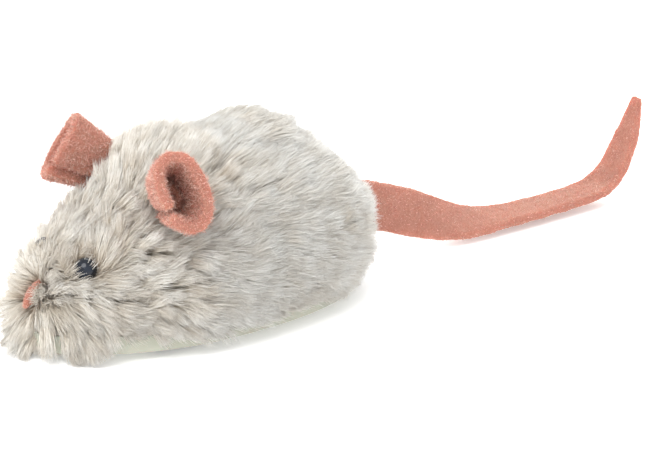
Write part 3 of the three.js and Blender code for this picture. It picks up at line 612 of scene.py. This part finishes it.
def pile_zones(root):
    """How far each root is inside each part of the coat whose pile has a length of its own, 0 to 1."""
    x, y, z = root[:, :1], root[:, 1:2], root[:, 2:3]
    off_chin = np.maximum(smooth_step(x, 5, 11), smooth_step(y, -27, -22))
    return {
        "head": head_share(root),
        "jowl": falling_step(y, -24, -15) * falling_step(z, 10, 17),
        "brow": falling_step(y, -20, -15) * smooth_step(z, 9, 16),
        "chin": (1 - off_chin) * falling_step(z, 4, 9),
        "hem": off_chin * falling_step(z, 3, 8),
        "crown": smooth_step(y, -18, -12) * falling_step(y, -4, 3) * smooth_step(z, 19, 23),
        "saddle": smooth_step(y, 0, 4) * falling_step(y, 8, 12) * smooth_step(z, 22, 26),
        "croup": smooth_step(y, 2, 14) * smooth_step(z, 17, 24),
    }


def zoned(usual, changes, zones):
    """A length for each root: the usual one, changed inside the named zones."""
    length = usual
    for name, change in changes.items():
        length = length + change * zones[name]
    return length


def strand_paths(root, normal, rng):
    """Ring centres and tone of every strand: combed, gathered into locks and waves, with stray ends."""
    count = len(root)
    head = head_share(root)
    lock, lock_centres = gather(root, LOCK_SPACING, rng)
    wave, wave_centres = gather(root, WAVE_SPACING, rng)
    wave_swing = drift(root[wave_centres], 0.12, 3.0)[wave]
    wave_swell = drift(root[wave_centres], 0.17, 9.0)[wave]

    lean = comb(root, normal, rng)
    across = np.cross(normal, lean)
    turn = 0.24 * wave_swing + spread(wave, 0.12, rng) + spread(lock, 0.18, rng)
    turn = turn * (1 + 1.8 * head) + 0.15 * rng.normal(size=(count, 1))
    lean = unit(lean + across * turn)

    undercoat = rng.random((count, 1)) < UNDERCOAT_SHARE
    size = 1 + 0.18 * wave_swell + spread(lock, 0.09, rng) + 0.09 * rng.normal(size=(count, 1))
    size = np.where(undercoat, 0.55 * size, size)
    from_key = np.linalg.norm(root[:, 1:] - KEY_PLACE[1:], axis=1, keepdims=True)
    size = size * (1 - 0.5 * falling_step(from_key, 5, 9) * (root[:, :1] < 0))
    from_nose = np.linalg.norm(root - NOSE_ROOT, axis=1, keepdims=True)
    zones = pile_zones(root)
    reach = zoned(REACH, REACH_CHANGES, zones) * size * (0.45 + 0.55 * smooth_step(from_nose, 1.5, 6.5))
    height = zoned(RISE, RISE_CHANGES, zones) * size
    height = height * (1 + (spread(wave, 0.12, rng) + spread(lock, 0.10, rng)) * (0.4 + head))
    tip = root + normal * height + lean * reach
    bend = root + normal * height * 0.75 + lean * reach * 0.28

    pull = np.clip(0.25 + spread(lock, 0.15, rng) + 0.22 * head, 0, 0.85)
    pull = np.where(undercoat, 0.1, pull)
    tip = tip + (tip[lock_centres][lock] - tip) * pull
    tip = tip + (tip[wave_centres][wave] - tip) * (0.04 + 0.08 * head) * ~undercoat
    bend = bend + (bend[lock_centres][lock] - bend) * pull * 0.45
    tip = tip + rng.normal(size=(count, 3)) * (0.30 + 0.16 * head)
    bend = bend + rng.normal(size=(count, 3)) * 0.12

    paths = [root * (1 - t) ** 2 + bend * 2 * t * (1 - t) + tip * t ** 2 for t in RING_SHARES]
    for ring in paths:
        lowest = FLOOR + 0.15 + 0.5 * rng.random(count)      # every strand stops above the floor
        ring[:, 2] = np.maximum(ring[:, 2], lowest)
    tone = 0.66 + spread(lock, 0.14, rng) + 0.24 * rng.normal(size=(count, 1)) - 0.30 * undercoat
    return np.stack(paths, axis=1), np.clip(tone[:, 0], 0, 1)


def strand_template():
    """One strand's polygons as vertex numbers, with each corner's place in its cell of the UV layer."""
    polygons = [((2, 0), (1, 0), (0, 0))]
    for ring in (0, 1):
        for side in range(3):
            polygons.append(((side, ring), (side + 1, ring), (side + 1, ring + 1), (side, ring + 1)))
    for side in range(3):
        polygons.append(((side, 2), (side + 1, 2), (side + 0.5, 3)))
    numbers = []
    places = []
    sizes = []
    for polygon in polygons:
        sizes.append(len(polygon))
        for side, ring in polygon:
            numbers.append(9 if ring == 3 else ring * 3 + int(side) % 3)
            places.append((side / 3, RING_SHARES[ring]))
    return np.array(numbers), np.array(places), np.array(sizes)


def strands_mesh(name, paths, tone, radius, material):
    """One mesh of many closed, tapering three-sided strands, each with its own cell of the UV layer."""
    count = len(paths)
    ahead = unit(paths[:, 2] - paths[:, 0])
    side = unit(np.cross(ahead, np.array([0.31, 0.47, 0.83])))
    other = np.cross(ahead, side)
    vertices = np.empty((count, 10, 3))
    for ring in range(3):
        for corner in range(3):
            angle = corner * 2 * math.pi / 3
            out = side * math.cos(angle) + other * math.sin(angle)
            vertices[:, ring * 3 + corner] = paths[:, ring] + out * radius[:, None] * RING_WIDTHS[ring]
    vertices[:, 9] = paths[:, 3]
    numbers, places, sizes = strand_template()
    loops = (np.arange(count)[:, None] * 10 + numbers).ravel()
    starts = np.concatenate([[0], np.cumsum(np.tile(sizes, count))[:-1]])
    mesh = bpy.data.meshes.new(name)
    mesh.vertices.add(count * 10)
    mesh.vertices.foreach_set("co", metres(vertices).ravel())
    mesh.loops.add(len(loops))
    mesh.loops.foreach_set("vertex_index", loops.astype(np.int32))
    mesh.polygons.add(len(starts))
    mesh.polygons.foreach_set("loop_start", starts.astype(np.int32))
    mesh.update(calc_edges=True)
    mesh.polygons.foreach_set("use_smooth", [True] * len(mesh.polygons))
    along = np.tile(np.concatenate([np.repeat(RING_SHARES[:3], 3), RING_SHARES[3:]]), count)
    mesh.attributes.new("along", "FLOAT", "POINT").data.foreach_set("value", along)
    mesh.attributes.new("tone", "FLOAT", "POINT").data.foreach_set("value", np.repeat(tone, 10))
    cells = math.ceil(math.sqrt(count))
    cell = np.stack([np.arange(count) % cells, np.arange(count) // cells], axis=1)
    layer = mesh.uv_layers.new(name="OFBake")
    layer.data.foreach_set("uv", ((cell[:, None] + 0.1 + 0.8 * places) / cells).ravel())
    mesh.materials.append(material)
    piece = bpy.data.objects.new(name, mesh)
    bpy.context.scene.collection.objects.link(piece)
    return piece


def pile_regions(root):
    """The coat's parts, each a piece of its own: name and which strands are in it."""
    x, y, z = root.T
    left = x >= 0
    bands = {
        "face": y < -21,
        "cheek": (y >= -21) & (y < -10) & (z <= 19),
        "crown": (y >= -21) & (y < 0) & (z > 19),
        "back": (y >= 0) & (y < 13) & (z > 19),
        "croup": (y >= 13) & (z > 19),
        "flank": (y >= -10) & (y < 5.5) & (z <= 19),
        "thigh": (y >= 5.5) & (y < 18) & (z <= 19),
        "haunch": (y >= 18) & (y < 27) & (z <= 19),
        "rump": (y >= 27) & (z <= 19),
    }
    regions = {}
    for name, inside in bands.items():
        regions["fur_" + name + "_left"] = inside & left
        regions["fur_" + name + "_right"] = inside & ~left
    return regions


def growing(root):
    """Which roots have pile on them: none under the eyes, the nose pad or the key."""
    keep = np.ones(len(root), bool)
    for mirror in (np.ones(3), MIRROR):
        off_axis = np.cross(root - EYE_PLACE * mirror, unit(EYE_DIRECTION * mirror))
        keep &= np.linalg.norm(off_axis, axis=1) > EYE_CLEARING
    keep &= np.linalg.norm((root - NOSE_ROOT) * np.array([1.6, 0.5, 0.5]), axis=1) > NOSE_CLEARING
    key = np.linalg.norm(root[:, 1:] - KEY_PLACE[1:], axis=1)
    keep &= (root[:, 0] > 0) | (key > KEY_CLEARING)
    return keep


def inside_ear(points, mouth, mirror, foot):
    """Whether each point is inside the felt cone of one ear."""
    axis = mouth - EAR_BASE
    length = np.linalg.norm(axis)
    upward, across = ear_axes(mouth)
    offset = points * mirror - EAR_BASE
    depth = offset @ (axis / length)
    wide = EAR_CLEARING * (foot + (1 - foot) * np.clip(depth / length, 0, 1))
    flat = np.sqrt((offset @ across) ** 2 + (offset @ upward / EAR_TALLNESS) ** 2)
    return (flat < wide) & (depth > -0.5)


def make_pile():
    rng = np.random.default_rng(SEED)
    root, normal = scatter_roots(ROOTS, rng)
    kept = growing(root)
    root, normal = root[kept], normal[kept]
    paths, tone = strand_paths(root, normal, rng)
    clear = np.ones(len(root), bool)
    for mouth, mirror, foot in ((LEFT_MOUTH, np.ones(3), LEFT_FOOT), (RIGHT_MOUTH, MIRROR, RIGHT_FOOT)):
        clear &= ~inside_ear(paths, mouth, mirror, foot).any(axis=1)
    root, paths, tone = root[clear], paths[clear], tone[clear]
    radius = STRAND_RADIUS * (1 + 0.25 * rng.random(len(root)))
    warm = pile_material(
        "pile_head", (0.62, 0.50, 0.37), (0.80, 0.76, 0.68), (0.86, 0.845, 0.80), (0.76, 0.70, 0.63))
    cool = pile_material(
        "pile_body", (0.68, 0.62, 0.54), (0.79, 0.76, 0.71), (0.84, 0.84, 0.81), (0.82, 0.78, 0.73))
    pieces = []
    for name, inside in pile_regions(root).items():
        material = warm if name.split("_")[1] in ("face", "cheek", "crown") else cool
        piece = strands_mesh(name, paths[inside], tone[inside], radius[inside], material)
        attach(piece, BODY)
        pieces.append(piece)
    return pieces


def make_backing(pile):
    points, faces = cloth_grid(rows=40, columns=96)
    backing = make_mesh("backing_cloth", points, faces, finishes["pile"])
    thickness = backing.modifiers.new("thickness", "SOLIDIFY")
    thickness.thickness = BACKING_THICKNESS * MM
    thickness.offset = -1
    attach(backing, BODY)
    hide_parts("plush_cover")


# ---------------------------------------------------------------- felt

FELT_GRAIN = 0.10                 # how far the felt's surface rises and falls, millimetres

# The rolled rim of an ear's mouth, from the inner end over the top and back to the outer end:
# distances from the mouth's middle along the ear's cross way and its long way.
EAR_ROLL = (
    (-2.7, -2.3), (-3.8, 1.0), (-3.8, 4.1), (-2.4, 5.9), (-0.5, 6.1), (1.4, 5.1), (2.9, 2.2),
    (3.8, -0.7), (3.8, -3.1), (2.5, -5.3), (0.3, -5.8), (-1.8, -4.6), (-2.9, -3.9),
)

# The tail's middle line as in the CAD: y, z, width, and turn from standing on edge to lying flat.
TAIL_STATIONS = (
    (31.0, 10.3, 9.9, 0), (33.2, 10.2, 9.9, 0), (38.8, 9.8, 8.8, 0), (48.0, 6.6, 8.5, 8),
    (54.2, 4.1, 8.2, 30), (61.8, 1.8, 8.0, 62), (69.4, 0.9, 7.8, 84), (79.8, 0.7, 7.6, 90),
    (91.0, 1.1, 7.2, 90), (95.8, 2.9, 6.8, 90), (98.6, 6.4, 6.2, 90), (100.8, 10.4, 5.0, 90),
    (103.0, 17.0, 1.2, 90),
)


def ear_axes(mouth):
    """An ear's long way and its cross way, both square to the line from its root to its mouth."""
    along = unit(mouth - EAR_BASE)
    across = unit(np.cross([0, 0, 1], along))
    return np.cross(along, across), across


def smooth_line(points, shares):
    """Points of a Catmull-Rom curve through the given ones, at shares of the way along it."""
    points = np.array(points, float)
    ends = np.vstack([2 * points[0] - points[1], points, 2 * points[-1] - points[-2]])
    place = np.asarray(shares) * (len(points) - 1)
    index = np.minimum(place.astype(int), len(points) - 2)
    t = (place - index)[:, None]
    a, b, c, d = (ends[index + k] for k in range(4))
    return 0.5 * (2 * b + (c - a) * t + (2 * a - 5 * b + 4 * c - d) * t ** 2
                  + (3 * b - a - 3 * c + d) * t ** 3)


def soft_slab(name, middle, thickness, material):
    """A thick sheet about a grid of middle points, with rounded edges and a fibrous surface."""
    rows, columns = middle.shape[:2]
    piece = make_mesh(name, middle.reshape(-1, 3), grid_faces(rows, columns), material)
    body = piece.modifiers.new("thickness", "SOLIDIFY")
    body.thickness = thickness * MM
    body.offset = 0
    edges = piece.modifiers.new("soft_edges", "SUBSURF")
    edges.levels = edges.render_levels = 2
    made = bpy.data.meshes.new_from_object(piece.evaluated_get(bpy.context.evaluated_depsgraph_get()))
    piece.modifiers.clear()
    piece.data = made
    roughen(piece, FELT_GRAIN)
    return piece


def roughen(piece, grain):
    """Moves a mesh's points in and out by uneven amounts, as pressed wool lies."""
    mesh = piece.data
    places = np.empty(len(mesh.vertices) * 3)
    normals = np.empty(len(mesh.vertices) * 3)
    mesh.vertices.foreach_get("co", places)
    mesh.vertices.foreach_get("normal", normals)
    places = places.reshape(-1, 3) / MM
    fine = drift(places, 1.9, 0) + 0.6 * drift(places, 4.3, 0)
    broad = drift(places, 0.45, 5)
    places = places + normals.reshape(-1, 3) * grain * (fine + 1.5 * broad)
    mesh.vertices.foreach_set("co", metres(places).ravel())
    mesh.update()


def fuzz(name, source, count, length, seed):
    """Loose fibres standing off a felt piece."""
    rng = np.random.default_rng(seed)
    mesh = source.data
    mesh.calc_loop_triangles()
    corners = np.empty(len(mesh.loop_triangles) * 3, np.int32)
    mesh.loop_triangles.foreach_get("vertices", corners)
    places = np.empty(len(mesh.vertices) * 3)
    mesh.vertices.foreach_get("co", places)
    triangles = (places.reshape(-1, 3) / MM)[corners.reshape(-1, 3)]
    first = triangles[:, 1] - triangles[:, 0]
    second = triangles[:, 2] - triangles[:, 0]
    square = np.cross(first, second)
    area = np.linalg.norm(square, axis=1)
    chosen = rng.choice(len(area), count, p=area / area.sum())
    share = rng.random((count, 2))
    share = np.where(share.sum(axis=1, keepdims=True) > 1, 1 - share, share)
    root = triangles[chosen, 0] + first[chosen] * share[:, :1] + second[chosen] * share[:, 1:]
    normal = unit(square[chosen])
    reach = length * (0.4 + 0.8 * rng.random((count, 1)))
    lean = unit(normal * 0.5 + rng.normal(size=(count, 3)) * 0.75)
    lean = lean + normal * np.maximum(0.1 - dot(lean, normal), 0)
    curl = unit(lean + rng.normal(size=(count, 3)) * 0.6)
    start = root - normal * 0.05
    paths = np.stack([start, start + lean * reach * 0.4, start + (lean * 0.5 + curl * 0.3) * reach,
                      start + (lean * 0.5 + curl * 0.5) * reach], axis=1)
    tone = rng.random(count)
    radius = 0.020 + 0.014 * rng.random(count)
    fibres = strands_mesh(name, paths, tone, radius, finishes["fibre"])
    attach(fibres, BODY)
    return fibres


def ear_middle(mouth, mirror, foot, reach):
    """The grid of middle points of one ear's felt: a gathered floor, then the roll out to its mouth."""
    upward, across = ear_axes(mouth)
    along = mouth - EAR_BASE
    roll = smooth_line(EAR_ROLL, np.linspace(0, 1, 44))
    steps = [(0.24, 0.05), (0.20, 0.45 * foot), (0.08, 0.85 * foot)]
    steps += [(share, foot + (1 - foot) * max(share, 0)) for share in np.linspace(-0.08, reach, 12)]
    rows = []
    for share, widening in steps:
        ring = EAR_BASE + along * share + (roll[:, :1] * across + roll[:, 1:] * upward) * widening
        rows.append(ring * mirror)
    return np.array(rows)


def make_ears():
    left = ("ear_left", (LEFT_MOUTH, np.ones(3), LEFT_FOOT, 1.0), SEED + 1)
    right = ("ear_right", (RIGHT_MOUTH, MIRROR, RIGHT_FOOT, RIGHT_REACH), SEED - 1)
    for node, shape, seed in (left, right):
        ear = soft_slab("felt_" + node, ear_middle(*shape), FELT, finishes["ear"])
        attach(ear, BODY)
        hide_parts(node)
        fibres = fuzz("fuzz_" + node, ear, count=12000, length=0.85, seed=seed)


def tail_middle():
    """The grid of middle points of the tail's strip."""
    shares = np.linspace(0, 1, 110)
    y, z, width, turn = smooth_line(TAIL_STATIONS, shares).T
    centre = np.stack([np.zeros_like(y), y, z], axis=1)
    ahead = unit(np.gradient(centre, axis=0))
    normal = unit(np.cross([1, 0, 0], ahead))
    turn = np.radians(turn)[:, None]
    across = -np.sin(turn) * np.array([1, 0, 0]) + np.cos(turn) * normal
    steps = np.linspace(-0.5, 0.5, 9)
    return centre[:, None] + across[:, None] * (width[:, None] * steps)[:, :, None]


def make_tail():
    tail = soft_slab("felt_tail", tail_middle(), TAIL_FELT, finishes["felt"])
    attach(tail, BODY)
    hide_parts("tail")
    fibres = fuzz("fuzz_tail", tail, count=9000, length=0.5, seed=SEED + 5)


# ---------------------------------------------------------------- nose pad and eyes

def turned(name, profile, place, axis, material, sides=40):
    """A turned solid. The profile is (distance along the axis, radius) pairs, closed at both ends."""
    axis = unit(axis)
    side = unit(np.cross(axis, [0.1, 0.2, 1.0]))
    other = np.cross(axis, side)
    vertices = []
    for distance, radius in profile:
        for angle in np.linspace(0, 2 * math.pi, sides, endpoint=False):
            out = side * math.cos(angle) + other * math.sin(angle)
            vertices.append(place + axis * distance + out * radius)
    faces = grid_faces(len(profile), sides, closed_columns=True)
    faces.append(tuple(reversed(range(sides))))
    faces.append(tuple(range((len(profile) - 1) * sides, len(profile) * sides)))
    return make_mesh(name, vertices, faces, material)


def make_eyes():
    angles = np.linspace(0, math.radians(88), 14)
    dome = [(EYE_DOME * math.sin(a), EYE_RADIUS * math.cos(a)) for a in angles]
    profile = [(-EYE_STEM, 0.6), (-EYE_STEM, 0.7), (-0.6, 0.7), (-0.6, EYE_RADIUS - 0.1),
               (-0.5, EYE_RADIUS), *dome]
    for mirror, node in ((np.ones(3), "eye_left"), (MIRROR, "eye_right")):
        eye = turned("gloss_" + node, profile, EYE_PLACE * mirror, EYE_DIRECTION * mirror,
                     finishes["black_gloss"])
        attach(eye, BODY)
        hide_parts(node)


def make_nose():
    """A small upright oval of felt, domed in front."""
    angles = np.linspace(math.radians(-80), math.radians(88), 14)
    profile = [(NOSE_DEPTH * math.sin(a), NOSE_HALF_HEIGHT * math.cos(a)) for a in angles]
    nose = turned("felt_nose", profile, np.zeros(3), NOSE_DIRECTION, finishes["felt"], sides=36)
    for vertex in nose.data.vertices:
        vertex.co.x *= NOSE_SLIMNESS
        vertex.co += Vector(NOSE_PLACE * MM)
    roughen(nose, grain=0.08)
    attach(nose, BODY)
    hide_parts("nose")
    fuzz("fuzz_nose", nose, count=900, length=0.5, seed=SEED + 9)


# ---------------------------------------------------------------- the whole toy

make_camera()
make_floor()
make_light()
finishes = dress_cad(frame["nodes"])
finishes["ear"] = felt_material("felt_ear", 0.90)
finishes["fibre"] = fibre_material()
make_backing(make_pile())
make_ears()
make_tail()
make_nose()
make_eyes()
